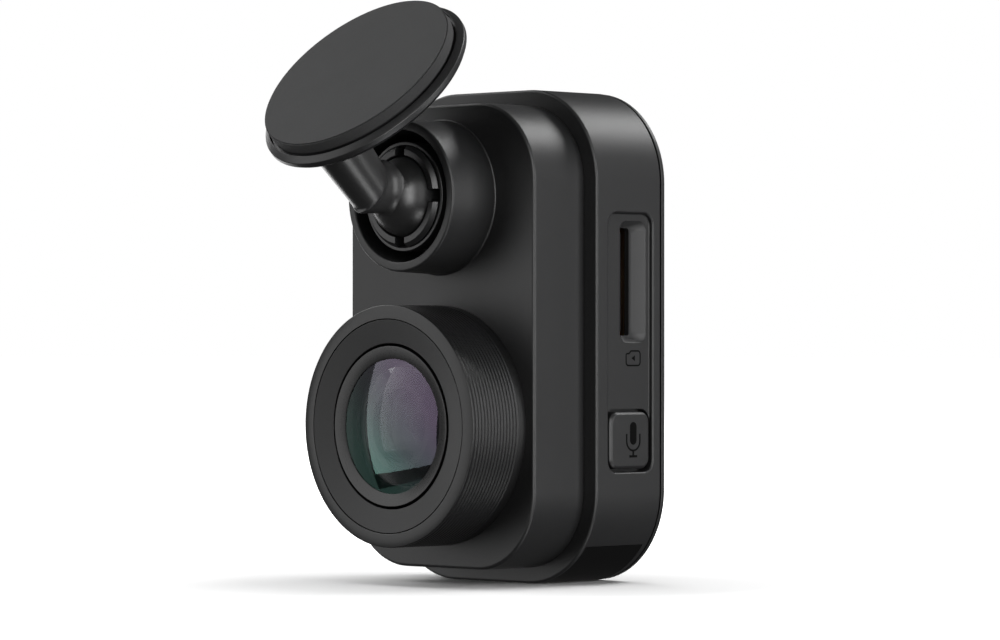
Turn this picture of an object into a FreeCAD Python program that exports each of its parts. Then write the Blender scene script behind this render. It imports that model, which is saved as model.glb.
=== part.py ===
import FreeCAD, Part
import os
from math import sqrt

# A compact dash camera on a ball-jointed stick-on mount. All lengths are in millimetres.
# +Z is up, the lens looks along -Y, and X = 0 is the plane of symmetry of the case.
# The origin is the centre of the foot, the flat underside that the camera stands on.

# Case: a rear housing with a narrower nose in front of it and a flat cover behind it.
HOUSING_WIDTH = 31.3
HOUSING_HEIGHT = 52.6
HOUSING_CORNER = 10.0
HOUSING_FRONT = -5.0
HOUSING_REAR = 4.92
HOUSING_WALL = 1.5
STEP_WALL = 1.2
NOSE_WIDTH = 27.7
NOSE_HEIGHT = 49.2
NOSE_CORNER = 8.4
NOSE_FRONT = -12.55
NOSE_WALL = 1.8
NOSE_PLATE = 1.4
SPIGOT_LENGTH = 2.0
SPIGOT_INSET = 1.05
COVER_FRONT = 5.15
COVER_REAR = 5.67
COVER_INNER = 4.1
COVER_PLATE = 0.75
CENTRE_HEIGHT = HOUSING_HEIGHT / 2
RUNNING_GAP = 0.05

# Lens, low on the nose.
LENS_HEIGHT = 16.85
BEZEL_FRONT = -20.52
BEZEL_RADIUS = 12.75
BEZEL_BORE = 11.3
BEZEL_SPIGOT = 11.9
RIB_PITCH = 0.46
RIB_DEPTH = 0.12
RIB_COUNT = 14
HOOD_BORE = 8.75
LENS_RING_RADIUS = 8.45
GLASS_RADIUS = 7.12
SENSOR_BOARD_FRONT = -4.1

# Ball joint, high on the nose.
BALL_HEIGHT = 41.05
BALL_DEPTH = -17.0
BALL_RADIUS = 4.4
COLLAR_FRONT = -18.62
COLLAR_RADIUS = 7.95
COLLAR_BASE_RADIUS = 8.19
COLLAR_BORE = 6.94
COLLET_MOUTH = 4.3
COLLET_SLOT = 1.4

# Stick-on disc and the stem that carries it.
DISC_TILT = 45.2
DISC_FACE = FreeCAD.Vector(0, -25.06, 53.92)
LINER_THICKNESS = 0.12
PAD_DEPTH = 1.25
PAD_RADIUS = 11.15
DISC_RADIUS = 12.1
DISC_DEPTH = 3.3
ARM_OFFSET = -7.15
ARM_ROOT_RADIUS = 2.85
ARM_END_RADIUS = 2.3
ARM_DEPTH = 13.1
NECK_RADIUS = 2.2
NECK_DROP = 1.95
ELBOW_DEPTH = -22.25

# Side pocket with the memory card slot and the microphone button, on the +X side.
POCKET_DEPTH = 0.55
POCKET_CENTRE = 0.3
POCKET_HALF_WIDTH = 3.4
POCKET_BOTTOM = 11.95
POCKET_TOP = 39.35
BUTTON_TOP = 18.65
BUTTON_GAP = 0.3
CARD_DEPTH = 0.14
CARD_HEIGHT = 32.1
CARD_LENGTH = 15.0
CARD_WIDTH = 11.0
CARD_THICKNESS = 0.7
CARD_END = 13.7
SLOT_WIDTH = 11.4
SLOT_GAP = 1.56

# Electronics.
BOARD_WIDTH = 24.4
BOARD_HEIGHT = 46.0
BOARD_FRONT = 1.2
BOARD_THICKNESS = 0.8
CHIP_HEIGHT = 0.7
SOCKET_FRONT = -0.75
TAPE_THICKNESS = 0.2
SPREADER_THICKNESS = 1.8
INLET_HEIGHT = 31.0
INLET_WIDTH = 8.94
INLET_THICKNESS = 3.16
POST_POINTS = [(-9.2, 5.9), (9.2, 5.9), (-9.2, 46.7), (9.2, 46.7)]
EAR_POINTS = [(-9.8, 26.4), (9.8, 26.4)]
HOLDER_POINTS = [(-5.5, LENS_HEIGHT - 5.5), (5.5, LENS_HEIGHT + 5.5)]
RETAINER_POINTS = [(-10.3, BALL_HEIGHT), (10.3, BALL_HEIGHT)]
SCREW_RADIUS = 0.5
SCREW_LENGTH = 2.6
SCREW_BORE = 0.55
HEAD_RADIUS = 1.15
HEAD_HEIGHT = 0.6
RETAINER_FRONT = -10.1
RETAINER_THICKNESS = 0.8

ALONG_X = FreeCAD.Vector(1, 0, 0)
ALONG_Y = FreeCAD.Vector(0, 1, 0)
ALONG_Z = FreeCAD.Vector(0, 0, 1)


def box(x0, x1, y0, y1, z0, z1):
    """A box between two opposite corners."""
    return Part.makeBox(x1 - x0, y1 - y0, z1 - z0, FreeCAD.Vector(x0, y0, z0))


def rod(radius, y0, y1, x, z):
    """A cylinder that runs along Y."""
    return Part.makeCylinder(radius, y1 - y0, FreeCAD.Vector(x, y0, z), ALONG_Y)


def edges_where(shape, test):
    """The edges whose midpoint and both ends all pass the test."""
    found = []
    for edge in shape.Edges:
        middle = edge.valueAt((edge.FirstParameter + edge.LastParameter) / 2)
        points = [middle] + [vertex.Point for vertex in edge.Vertexes]
        if all(test(point) for point in points):
            found.append(edge)
    return found


def edges_along(shape, direction):
    """The straight edges that run along a direction."""
    found = []
    for edge in shape.Edges:
        if edge.Curve.TypeId != "Part::GeomLine":
            continue
        if edge.Curve.Direction.cross(direction).Length < 1e-6:
            found.append(edge)
    return found


def rounded_block(width, height, corner, y0, y1, centre=CENTRE_HEIGHT):
    """A slab across Y with rounded corners, centred on X = 0."""
    block = box(-width / 2, width / 2, y0, y1, centre - height / 2, centre + height / 2)
    return block.makeFillet(corner, edges_along(block, ALONG_Y))


def side_block(x0, x1, centre_y, width, centre_z, height, corner):
    """A slab across X with rounded corners."""
    block = box(x0, x1, centre_y - width / 2, centre_y + width / 2,
                centre_z - height / 2, centre_z + height / 2)
    return block.makeFillet(corner, edges_along(block, ALONG_X))


def turned(outline, height):
    """A turned part from (radius, y) points, about the line along Y at a height."""
    points = [FreeCAD.Vector(radius, y, height) for radius, y in outline]
    face = Part.Face(Part.makePolygon(points + points[:1]))
    return face.revolve(FreeCAD.Vector(0, 0, height), ALONG_Y, 360)


def lens_arc(radius, apex, sag, height):
    """An arc from the axis to the rim of a lens surface that sags towards +Y by sag."""
    curvature = (radius ** 2 + sag ** 2) / (2 * abs(sag))
    half = radius / 2
    half_sag = curvature - sqrt(curvature ** 2 - half ** 2)
    half_sag = half_sag if sag > 0 else -half_sag
    start = FreeCAD.Vector(0, apex, height)
    middle = FreeCAD.Vector(half, apex + half_sag, height)
    end = FreeCAD.Vector(radius, apex + sag, height)
    return Part.Arc(start, middle, end).toShape(), start, end


def glass_element(radius, front_apex, front_sag, back_apex, back_sag):
    """A lens with two spherical faces."""
    front, front_start, front_end = lens_arc(radius, front_apex, front_sag, LENS_HEIGHT)
    back, back_start, back_end = lens_arc(radius, back_apex, back_sag, LENS_HEIGHT)
    rim = Part.makeLine(front_end, back_end)
    axis = Part.makeLine(back_start, front_start)
    face = Part.Face(Part.Wire([front, rim, back, axis]))
    return face.revolve(FreeCAD.Vector(0, 0, LENS_HEIGHT), ALONG_Y, 360)


def housing_outline(y0, y1, inset=0.0):
    """The rear housing's rounded outline, drawn in by an inset."""
    return rounded_block(HOUSING_WIDTH - 2 * inset, HOUSING_HEIGHT - 2 * inset,
                         HOUSING_CORNER - inset, y0, y1)


def label_band(inset_outer, inset_inner):
    """The band that wraps under the housing between two insets."""
    front = HOUSING_FRONT + 0.45
    rear = HOUSING_REAR - 0.75
    band = housing_outline(front, rear, inset_outer).cut(housing_outline(front, rear, inset_inner))
    return band.common(box(-20, 20, -20, 20, -1, 4.1))


def front_cover():
    cover = rounded_block(NOSE_WIDTH, NOSE_HEIGHT, NOSE_CORNER, NOSE_FRONT, HOUSING_FRONT)
    cover = cover.makeFillet(0.45, edges_where(cover, lambda p: abs(p.y - NOSE_FRONT) < 1e-6))
    collar = Part.makeCone(COLLAR_RADIUS, COLLAR_BASE_RADIUS, NOSE_FRONT - COLLAR_FRONT,
                           FreeCAD.Vector(0, COLLAR_FRONT, BALL_HEIGHT), ALONG_Y)
    collar = collar.makeFillet(0.25, edges_where(collar, lambda p: abs(p.y - COLLAR_FRONT) < 1e-6))
    spigot = rounded_block(NOSE_WIDTH - 2 * SPIGOT_INSET, NOSE_HEIGHT - 2 * SPIGOT_INSET,
                           NOSE_CORNER - SPIGOT_INSET, HOUSING_FRONT, HOUSING_FRONT + SPIGOT_LENGTH)
    plate_back = NOSE_FRONT + NOSE_PLATE
    cavity = rounded_block(NOSE_WIDTH - 2 * NOSE_WALL, NOSE_HEIGHT - 2 * NOSE_WALL,
                           NOSE_CORNER - NOSE_WALL, plate_back, HOUSING_FRONT + SPIGOT_LENGTH)
    cover = cover.fuse([collar, spigot]).cut(cavity)
    posts = [rod(1.6, plate_back - 0.2, BOARD_FRONT, x, z) for x, z in POST_POINTS]
    posts += [rod(1.4, plate_back - 0.2, SENSOR_BOARD_FRONT, x, z) for x, z in EAR_POINTS]
    posts += [rod(1.3, plate_back - 0.2, RETAINER_FRONT, x, z) for x, z in RETAINER_POINTS]
    cover = cover.fuse(posts)
    bores = [rod(SCREW_BORE, BOARD_FRONT - 3, BOARD_FRONT, x, z) for x, z in POST_POINTS]
    bores += [rod(SCREW_BORE, SENSOR_BOARD_FRONT - 3, SENSOR_BOARD_FRONT, x, z)
              for x, z in EAR_POINTS]
    bores += [rod(SCREW_BORE, RETAINER_FRONT - 2, RETAINER_FRONT, x, z) for x, z in RETAINER_POINTS]
    lens_hole = rod(BEZEL_SPIGOT + RUNNING_GAP, NOSE_FRONT - 1, plate_back, 0, LENS_HEIGHT)
    socket_hole = rod(COLLAR_BORE, COLLAR_FRONT - 1, plate_back, 0, BALL_HEIGHT)
    return cover.cut(bores + [lens_hole, socket_hole]).removeSplitter()


def scoop():
    """The finger scoop that slopes down to the card slot from the pocket's floor."""
    floor = HOUSING_WIDTH / 2 - POCKET_DEPTH
    bottom = CARD_HEIGHT - 6.4
    outline = [(floor - 0.6, -0.7), (floor + 0.1, -0.7), (floor + 0.1, 3.5), (floor, 3.5),
               (floor - 0.6, 0.95)]
    points = [FreeCAD.Vector(x, y, bottom) for x, y in outline]
    wedge = Part.Face(Part.makePolygon(points + points[:1])).extrude(ALONG_Z * 12.8)
    return wedge


def main_housing():
    shell = housing_outline(HOUSING_FRONT, HOUSING_REAR)
    front_edges = edges_where(shell, lambda p: abs(p.y - HOUSING_FRONT) < 1e-6)
    rear_edges = edges_where(shell, lambda p: abs(p.y - HOUSING_REAR) < 1e-6)
    shell = shell.makeFillet(0.3, front_edges + rear_edges)
    shell = shell.cut(housing_outline(HOUSING_FRONT + STEP_WALL, HOUSING_REAR + 1, HOUSING_WALL))
    inset = SPIGOT_INSET - RUNNING_GAP
    mouth = rounded_block(NOSE_WIDTH - 2 * inset, NOSE_HEIGHT - 2 * inset, NOSE_CORNER - inset,
                          HOUSING_FRONT - 1, HOUSING_FRONT + STEP_WALL + 1)
    side = HOUSING_WIDTH / 2
    pocket = side_block(side - POCKET_DEPTH, side + 1, POCKET_CENTRE, 2 * POCKET_HALF_WIDTH,
                        (POCKET_TOP + POCKET_BOTTOM) / 2, POCKET_TOP - POCKET_BOTTOM, 1.0)
    button_hole = side_block(side - 3, side + 1, POCKET_CENTRE, 2 * POCKET_HALF_WIDTH,
                             (BUTTON_TOP + POCKET_BOTTOM) / 2, BUTTON_TOP - POCKET_BOTTOM, 1.0)
    card_slot = side_block(side - 3, side + 1, CARD_DEPTH, SLOT_GAP, CARD_HEIGHT, SLOT_WIDTH, 0.35)
    inlet = side_block(-side - 1, -side + 3, BOARD_FRONT - INLET_THICKNESS / 2,
                       INLET_THICKNESS + 0.7, INLET_HEIGHT, INLET_WIDTH + 0.7, 1.9)
    return shell.cut([mouth, pocket, button_hole, scoop(), card_slot, inlet, label_band(-1, 0.25)])


def back_cover():
    plate = housing_outline(COVER_FRONT, COVER_REAR, 0.08)
    rear_edges = edges_where(plate, lambda p: abs(p.y - COVER_REAR) < 1e-6)
    plate = plate.makeFillet(0.3, rear_edges)
    plug = housing_outline(COVER_INNER, COVER_FRONT, HOUSING_WALL + 2 * RUNNING_GAP)
    hollow = housing_outline(COVER_INNER - 1, COVER_REAR - COVER_PLATE, HOUSING_WALL + 1.2)
    return plate.fuse(plug).cut(hollow).removeSplitter()


def bottom_label():
    return label_band(0.0, 0.25)


def lens_bezel():
    """The ring round the lens, with fine ribs round its side."""
    outline = [(BEZEL_BORE, BEZEL_FRONT), (BEZEL_RADIUS - 0.25, BEZEL_FRONT)]
    first = BEZEL_FRONT + 0.35
    for index in range(RIB_COUNT):
        start = first + index * RIB_PITCH
        outline.append((BEZEL_RADIUS, start))
        outline.append((BEZEL_RADIUS, start + RIB_PITCH * 0.5))
        outline.append((BEZEL_RADIUS - RIB_DEPTH, start + RIB_PITCH * 0.6))
        outline.append((BEZEL_RADIUS - RIB_DEPTH, start + RIB_PITCH * 0.9))
    outline.append((BEZEL_RADIUS, first + RIB_COUNT * RIB_PITCH))
    outline.append((BEZEL_RADIUS, NOSE_FRONT))
    outline.append((BEZEL_SPIGOT, NOSE_FRONT))
    outline.append((BEZEL_SPIGOT, NOSE_FRONT + NOSE_PLATE))
    outline.append((BEZEL_BORE, NOSE_FRONT + NOSE_PLATE))
    return turned(outline, LENS_HEIGHT)


def lens_hood():
    """The shallow funnel between the bezel and the lens ring, with a sleeve behind it."""
    outer = BEZEL_BORE - RUNNING_GAP
    rear = NOSE_FRONT + NOSE_PLATE
    outline = [(outer, BEZEL_FRONT + 0.05), (outer, rear), (10.7, rear), (10.7, BEZEL_FRONT + 2.2),
               (HOOD_BORE, BEZEL_FRONT + 1.6), (HOOD_BORE, BEZEL_FRONT + 0.42)]
    return turned(outline, LENS_HEIGHT)


def lens_retainer():
    """The flat ring that holds the front lens in its barrel."""
    front = BEZEL_FRONT + 0.45
    outline = [(GLASS_RADIUS, front), (LENS_RING_RADIUS, front), (LENS_RING_RADIUS, front + 0.85),
               (7.6, front + 0.85), (7.6, front + 0.49), (GLASS_RADIUS, front + 0.35)]
    return turned(outline, LENS_HEIGHT)


def lens_barrel():
    """The stepped tube that holds every lens and screws into the holder."""
    front = BEZEL_FRONT + 1.3
    outline = [(7.6, front), (LENS_RING_RADIUS, front), (LENS_RING_RADIUS, -13.7), (5.0, -13.7),
               (5.0, -6.9), (4.2, -6.9), (4.2, -14.9), (6.2, -14.9), (6.2, -17.35), (7.6, -17.35)]
    return turned(outline, LENS_HEIGHT)


def front_lens():
    return glass_element(7.55, BEZEL_FRONT - 0.15, 1.1, BEZEL_FRONT + 1.5, 1.65)


def second_lens():
    return glass_element(6.15, -17.9, 1.78, -15.1, -0.3)


def third_lens():
    return glass_element(4.15, -13.9, 1.89, -11.3, -0.4)


def rear_lens():
    return glass_element(4.15, -10.3, 0.4, -8.6, -0.5)


def spacer(outer, inner, front, rear):
    return turned([(inner, front), (outer, front), (outer, rear), (inner, rear)], LENS_HEIGHT)


def front_spacer():
    """The dark cone between the first two lenses."""
    outline = [(3.9, -17.95), (4.6, -17.95), (6.15, -17.35), (6.15, -16.25), (3.9, -17.33)]
    return turned(outline, LENS_HEIGHT)


def aperture_stop():
    return spacer(4.15, 1.5, -14.4, -14.15)


def rear_spacer():
    return spacer(4.15, 3.3, -11.53, -10.07)


def lens_holder():
    """The threaded seat that stands the lens over the sensor."""
    tower = rod(6.4, -10.9, -6.2, 0, LENS_HEIGHT)
    foot = box(-7.2, 7.2, -6.2, SENSOR_BOARD_FRONT, LENS_HEIGHT - 7.2, LENS_HEIGHT + 7.2)
    bore = rod(5.05, -10.9, -6.6, 0, LENS_HEIGHT)
    window = rod(3.2, -6.6, -6.0, 0, LENS_HEIGHT)
    well = box(-3.7, 3.7, -6.2, SENSOR_BOARD_FRONT, LENS_HEIGHT - 3.7, LENS_HEIGHT + 3.7)
    screw_bores = [rod(SCREW_BORE, -6.0, SENSOR_BOARD_FRONT, x, z) for x, z in HOLDER_POINTS]
    return tower.fuse(foot).cut([bore, window, well] + screw_bores).removeSplitter()


def ir_filter():
    return box(-3.6, 3.6, -6.2, -5.9, LENS_HEIGHT - 3.6, LENS_HEIGHT + 3.6)


def image_sensor():
    return box(-3.4, 3.4, SENSOR_BOARD_FRONT - 0.9, SENSOR_BOARD_FRONT,
               LENS_HEIGHT - 3.2, LENS_HEIGHT + 3.2)


def sensor_board():
    rear = SENSOR_BOARD_FRONT + BOARD_THICKNESS
    board = box(-8.2, 8.2, SENSOR_BOARD_FRONT, rear, 8.0, 25.7)
    ears = box(-11.2, 11.2, SENSOR_BOARD_FRONT, rear, 24.6, 28.2)
    points = EAR_POINTS + HOLDER_POINTS
    bores = [rod(SCREW_BORE, SENSOR_BOARD_FRONT, rear, x, z) for x, z in points]
    return board.fuse(ears).cut(bores).removeSplitter()


def flex_connectors():
    """The two identical board connectors at the ends of the flex cable."""
    sensor_rear = SENSOR_BOARD_FRONT + BOARD_THICKNESS
    first = box(-4, 4, sensor_rear, sensor_rear + 0.9, 11, 14)
    second = box(-4, 4, BOARD_FRONT - 0.9, BOARD_FRONT, 11, 14)
    return Part.makeCompound([first, second])


def flex_cable():
    """A thin ribbon that loops from one connector down and back up to the other."""
    front = SENSOR_BOARD_FRONT + BOARD_THICKNESS + 0.9
    rear = BOARD_FRONT - 0.9
    middle = (front + rear) / 2
    outer_radius = (rear - front) / 2
    bend = FreeCAD.Vector(-3.5, middle, 8.5)
    loop = Part.makeCylinder(outer_radius, 7, bend, ALONG_X)
    loop = loop.cut(Part.makeCylinder(outer_radius - 0.15, 7, bend, ALONG_X))
    loop = loop.common(box(-4, 4, front - 1, rear + 1, 0, 8.5))
    legs = [box(-3.5, 3.5, front, front + 0.15, 8.5, 13.5),
            box(-3.5, 3.5, rear - 0.15, rear, 8.5, 13.5)]
    return loop.fuse(legs).removeSplitter()


def socket_collet():
    """The slotted socket that grips the ball."""
    flange_front = NOSE_FRONT + NOSE_PLATE
    outline = [(0, -12.2), (3.0, -12.2), (3.0, -14.0), (COLLET_MOUTH, -14.0),
               (COLLET_MOUTH, COLLAR_FRONT), (5.0, COLLAR_FRONT), (5.4, COLLAR_FRONT + 0.45),
               (5.4, COLLAR_FRONT + 0.55), (5.2, COLLAR_FRONT + 0.55), (5.2, -16.4), (5.6, -16.4),
               (5.6, flange_front), (7.9, flange_front), (7.9, RETAINER_FRONT), (0, RETAINER_FRONT)]
    collet = turned(outline, BALL_HEIGHT)
    seat = Part.makeSphere(BALL_RADIUS + RUNNING_GAP, FreeCAD.Vector(0, BALL_DEPTH, BALL_HEIGHT))
    half = COLLET_SLOT / 2
    reach = 6.5
    flat_slot = box(-reach, reach, COLLAR_FRONT - 1, -14.6, BALL_HEIGHT - half, BALL_HEIGHT + half)
    tall_slot = box(-half, half, COLLAR_FRONT - 1, -14.6, BALL_HEIGHT - reach, BALL_HEIGHT + reach)
    return collet.cut([seat, flat_slot, tall_slot])


def socket_retainer():
    """The strap behind the collet's flange, screwed to the front cover."""
    rear = RETAINER_FRONT + RETAINER_THICKNESS
    strap = box(-11.5, 11.5, RETAINER_FRONT, rear, BALL_HEIGHT - 6.5, BALL_HEIGHT + 4.0)
    bores = [rod(SCREW_BORE, RETAINER_FRONT, rear, x, z) for x, z in RETAINER_POINTS]
    return strap.cut(bores)


def tension_ring():
    """The plain ring that closes the collet's fingers on the ball."""
    outline = [(5.25, COLLAR_FRONT + 0.6), (5.8, COLLAR_FRONT + 0.6), (5.8, -16.45), (5.25, -16.45)]
    return turned(outline, BALL_HEIGHT)


def ball():
    return Part.makeSphere(BALL_RADIUS, FreeCAD.Vector(0, BALL_DEPTH, BALL_HEIGHT))


def on_disc(shape):
    """Moves a shape from the disc's own axes (+Z out of the pad's face) to its place."""
    shape.rotate(FreeCAD.Vector(0, 0, 0), ALONG_X, DISC_TILT)
    shape.translate(DISC_FACE)
    return shape


def mount_arm():
    """The tapered stem from the disc, mitred to a short level neck that ends on the ball."""
    cone = Part.makeCone(ARM_END_RADIUS, ARM_ROOT_RADIUS, ARM_DEPTH - DISC_DEPTH,
                         FreeCAD.Vector(0, ARM_OFFSET, -ARM_DEPTH), ALONG_Z)
    spigot = Part.makeCylinder(1.9, 1.2, FreeCAD.Vector(0, ARM_OFFSET, -DISC_DEPTH), ALONG_Z)
    stem = on_disc(cone.fuse(spigot))
    behind_mitre = box(-5, 5, 0, 12, -8, 8)
    behind_mitre.rotate(FreeCAD.Vector(0, 0, 0), ALONG_X, (DISC_TILT - 90) / 2)
    behind_mitre.translate(FreeCAD.Vector(0, ELBOW_DEPTH, BALL_HEIGHT))
    neck = rod(NECK_RADIUS, ELBOW_DEPTH - 3, BALL_DEPTH - 2, 0, BALL_HEIGHT).common(behind_mitre)
    under = box(-5, 5, -40, -10, 30, BALL_HEIGHT - NECK_DROP)
    seat = Part.makeSphere(BALL_RADIUS + 0.03, FreeCAD.Vector(0, BALL_DEPTH, BALL_HEIGHT))
    return stem.cut(behind_mitre).fuse(neck).cut([under, seat]).removeSplitter()


def mount_disc():
    outline = [(0, -PAD_DEPTH), (11.35, -PAD_DEPTH), (DISC_RADIUS, -1.8), (DISC_RADIUS, -2.4),
               (11.7, -2.75), (9.0, -DISC_DEPTH), (0, -DISC_DEPTH)]
    points = [FreeCAD.Vector(radius, 0, z) for radius, z in outline]
    face = Part.Face(Part.makePolygon(points + points[:1]))
    disc = face.revolve(FreeCAD.Vector(0, 0, 0), ALONG_Z, 360)
    bore = Part.makeCylinder(1.93, 1.25, FreeCAD.Vector(0, ARM_OFFSET, -DISC_DEPTH), ALONG_Z)
    return on_disc(disc.cut(bore))


def adhesive_pad():
    depth = PAD_DEPTH - LINER_THICKNESS
    return on_disc(Part.makeCylinder(PAD_RADIUS, depth, FreeCAD.Vector(0, 0, -PAD_DEPTH), ALONG_Z))


def release_liner():
    start = FreeCAD.Vector(0, 0, -LINER_THICKNESS)
    return on_disc(Part.makeCylinder(PAD_RADIUS, LINER_THICKNESS, start, ALONG_Z))


def mic_button():
    """The push button in the pocket's lower end, with a flange that keeps it in."""
    side = HOUSING_WIDTH / 2
    centre = (BUTTON_TOP + POCKET_BOTTOM) / 2
    height = BUTTON_TOP - POCKET_BOTTOM
    cap = side_block(side - 1.6, side - 0.05, POCKET_CENTRE, 2 * (POCKET_HALF_WIDTH - BUTTON_GAP),
                     centre, height - 2 * BUTTON_GAP, 1.1)
    cap = cap.makeChamfer(0.25, edges_where(cap, lambda p: abs(p.x - side + 0.05) < 1e-6))
    flange = box(side - 2.25, side - 1.55, -3.5, 3.95, centre - 3.85, centre + 3.85)
    return cap.fuse(flange).removeSplitter()


def switch_plunger():
    return box(11.9, HOUSING_WIDTH / 2 - 2.25, -0.9, 0.1, 14.5, 16.1)


def tact_switch():
    body = box(10.0, 12.2, -2.0, BOARD_FRONT, 13.0, 17.6)
    return body.cut(box(11.3, 12.2, -0.95, 0.15, 14.45, 16.15))


def card_socket():
    start = CARD_END - CARD_LENGTH
    shell = box(start - 1.3, 12.6, SOCKET_FRONT, BOARD_FRONT, CARD_HEIGHT - 6.6, CARD_HEIGHT + 6.6)
    cavity = box(start - 0.7, 12.6, -0.3, 0.85, CARD_HEIGHT - 5.65, CARD_HEIGHT + 5.65)
    return shell.cut(cavity)


def memory_card():
    """A standard small memory card: stepped on one side, with a lip at its outer end."""
    start = CARD_END - CARD_LENGTH
    low = CARD_HEIGHT - CARD_WIDTH / 2
    high = CARD_HEIGHT + CARD_WIDTH / 2
    front = CARD_DEPTH - CARD_THICKNESS / 2
    outline = [(start, low), (CARD_END, low), (CARD_END, high), (start + 8.6, high),
               (start + 7.6, high - 0.7), (start + 1.2, high - 1.3), (start, high - 1.3)]
    points = [FreeCAD.Vector(x, front, z) for x, z in outline]
    card = Part.Face(Part.makePolygon(points + points[:1])).extrude(ALONG_Y * CARD_THICKNESS)
    lip = box(CARD_END - 1.2, CARD_END, front, front + 1.0, low + 0.3, high - 0.3)
    return card.fuse(lip).removeSplitter()


def usb_shell():
    """The socket for the power lead, on the -X side."""
    centre = BOARD_FRONT - INLET_THICKNESS / 2
    shell = side_block(-15.0, -7.6, centre, INLET_THICKNESS, INLET_HEIGHT, INLET_WIDTH, 1.5)
    cavity = side_block(-15.0, -8.0, centre, INLET_THICKNESS - 0.6, INLET_HEIGHT,
                        INLET_WIDTH - 0.6, 1.2)
    return shell.cut(cavity)


def usb_tongue():
    centre = BOARD_FRONT - INLET_THICKNESS / 2
    return box(-14.2, -8.0, centre - 0.35, centre + 0.35, INLET_HEIGHT - 3.35, INLET_HEIGHT + 3.35)


def main_board():
    board = rounded_block(BOARD_WIDTH, BOARD_HEIGHT, 6.5, BOARD_FRONT, BOARD_FRONT + BOARD_THICKNESS)
    bores = [rod(SCREW_BORE, BOARD_FRONT - 1, BOARD_FRONT + 2, x, z) for x, z in POST_POINTS]
    return board.cut(bores)


def chip(width, height, x, z, thickness=CHIP_HEIGHT):
    """A chip on the rear of the main board."""
    rear = BOARD_FRONT + BOARD_THICKNESS
    return box(x - width / 2, x + width / 2, rear, rear + thickness, z - height / 2, z + height / 2)


def processor():
    return chip(12, 12, 0, 20)


def memory_chip():
    return chip(11, 9, 0, 32.5)


def power_chip():
    return chip(4, 4, 0, 43.5, 0.6)


def shield_can():
    """A thin lid over the power chip."""
    return chip(12, 7.5, 0, 43.5, 0.9).cut(chip(11.7, 7.2, 0, 43.5, 0.75))


def thermal_pad():
    front = BOARD_FRONT + BOARD_THICKNESS + CHIP_HEIGHT
    return box(-6, 6, front, front + 0.3, 14, 26)


def heat_spreader():
    front = BOARD_FRONT + BOARD_THICKNESS + CHIP_HEIGHT + 0.3
    return rounded_block(25.4, 46.4, 7.0, front, front + SPREADER_THICKNESS)


def battery():
    rear = SOCKET_FRONT - TAPE_THICKNESS
    cell = box(-7.1, 7.1, rear - 4.2, rear, 30.5, 48.0)
    return cell.makeFillet(0.8, edges_along(cell, ALONG_Z))


def battery_tape():
    """The tape that sticks the battery to the card socket."""
    return box(-1.5, 6.0, SOCKET_FRONT - TAPE_THICKNESS, SOCKET_FRONT, 31.0, 38.4)


def microphone():
    return box(-9.5, -6.5, BOARD_FRONT - 1.0, BOARD_FRONT, 10.5, 12.5)


def screw(x, seat, z):
    """A small pan-head screw whose head sits on a face at y = seat."""
    shank = rod(SCREW_RADIUS, seat - SCREW_LENGTH, seat, x, z)
    head = rod(HEAD_RADIUS, seat, seat + HEAD_HEIGHT, x, z)
    slots = [box(x - 0.7, x + 0.7, seat + 0.3, seat + 1, z - 0.13, z + 0.13),
             box(x - 0.13, x + 0.13, seat + 0.3, seat + 1, z - 0.7, z + 0.7)]
    return shank.fuse(head).cut(slots)


def case_screws():
    """Every screw inside the case is the same one."""
    seats = [(POST_POINTS, BOARD_FRONT + BOARD_THICKNESS),
             (EAR_POINTS, SENSOR_BOARD_FRONT + BOARD_THICKNESS),
             (HOLDER_POINTS, SENSOR_BOARD_FRONT + BOARD_THICKNESS),
             (RETAINER_POINTS, RETAINER_FRONT + RETAINER_THICKNESS)]
    screws = [screw(x, seat, z) for points, seat in seats for x, z in points]
    return Part.makeCompound(screws)


PIECES = [
    front_cover, main_housing, back_cover, bottom_label, lens_bezel, lens_hood, lens_retainer,
    lens_barrel, front_lens, second_lens, third_lens, rear_lens, front_spacer, aperture_stop,
    rear_spacer, lens_holder, ir_filter, image_sensor, sensor_board, flex_connectors, flex_cable,
    socket_collet, socket_retainer, tension_ring, ball, mount_arm, mount_disc, adhesive_pad,
    release_liner, mic_button, switch_plunger, tact_switch, card_socket, memory_card, usb_shell,
    usb_tongue, main_board, processor, memory_chip, power_chip, shield_can, thermal_pad,
    heat_spreader, battery, battery_tape, microphone, case_screws,
]

os.makedirs("parts", exist_ok=True)
for piece in PIECES:
    shape = piece()
    shape.exportStep("parts/" + piece.__name__ + ".step")
    box_of = shape.BoundBox
    print(piece.__name__, shape.isValid(), len(shape.Solids), round(shape.Volume, 1),
          [round(value, 2) for value in (box_of.XMin, box_of.XMax, box_of.YMin, box_of.YMax,
                                         box_of.ZMin, box_of.ZMax)])
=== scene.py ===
from math import acos, cos, pi, radians, sin, tan

import bmesh
import bpy
from mathutils import Matrix, Vector


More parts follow.
